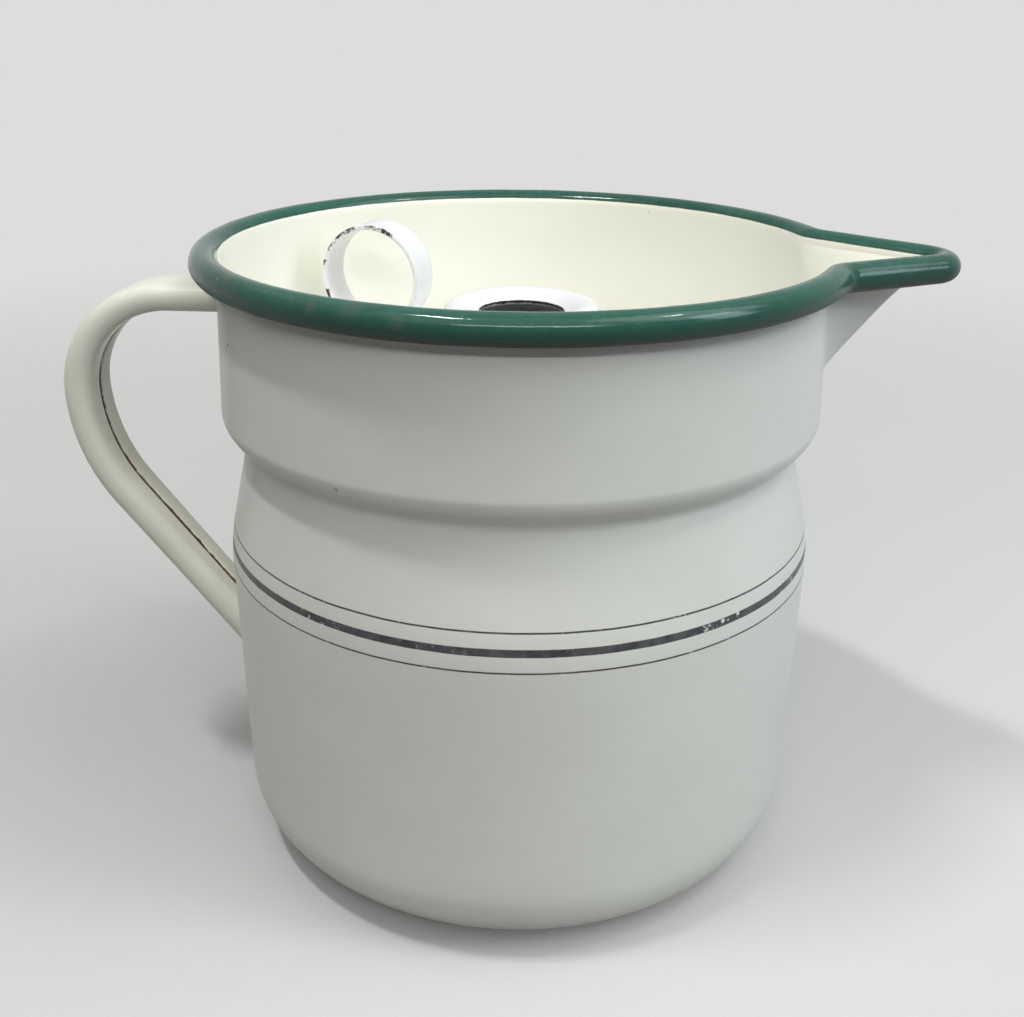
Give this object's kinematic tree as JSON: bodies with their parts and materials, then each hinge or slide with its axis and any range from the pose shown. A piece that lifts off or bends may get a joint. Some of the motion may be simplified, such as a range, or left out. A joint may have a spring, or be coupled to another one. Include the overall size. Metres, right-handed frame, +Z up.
{
  "type": "enamel milk boiler jug",
  "caption": "Waisted enamelled sheet-steel milk boiler with a wired green rim, pouring spout, rolled strip handle and a lift-out boil-over insert with chimney and ring.",
  "frame": {"origin": "centre of the base, on the plane that the jug stands on", "axes": "+Z up along the axis of the jug, +X towards the spout, the handle on -X"},
  "size_m": [0.2435, 0.1736, 0.1737],
  "materials": {
    "ivory_enamel": "glossy vitreous enamel, ivory, with printed dark lines",
    "green_enamel": "glossy vitreous enamel, bottle green",
    "white_enamel": "glossy vitreous enamel, cool white",
    "steel_wire": "plain drawn wire"
  },
  "bodies": {
    "jug": {"body_shell": "ivory_enamel", "rim_roll": "green_enamel", "spout": "ivory_enamel", "spout_roll": "green_enamel", "rim_wire": "steel_wire", "handle": "ivory_enamel"},
    "insert": {"insert_plate": "white_enamel", "lifting_ring": "white_enamel"}
  },
  "joints": [
    {"name": "insert_lift", "type": "slide", "parent": "jug", "child": "insert", "axis": [0, 0, 1], "range_m": [0, 0.06]}
  ]
}
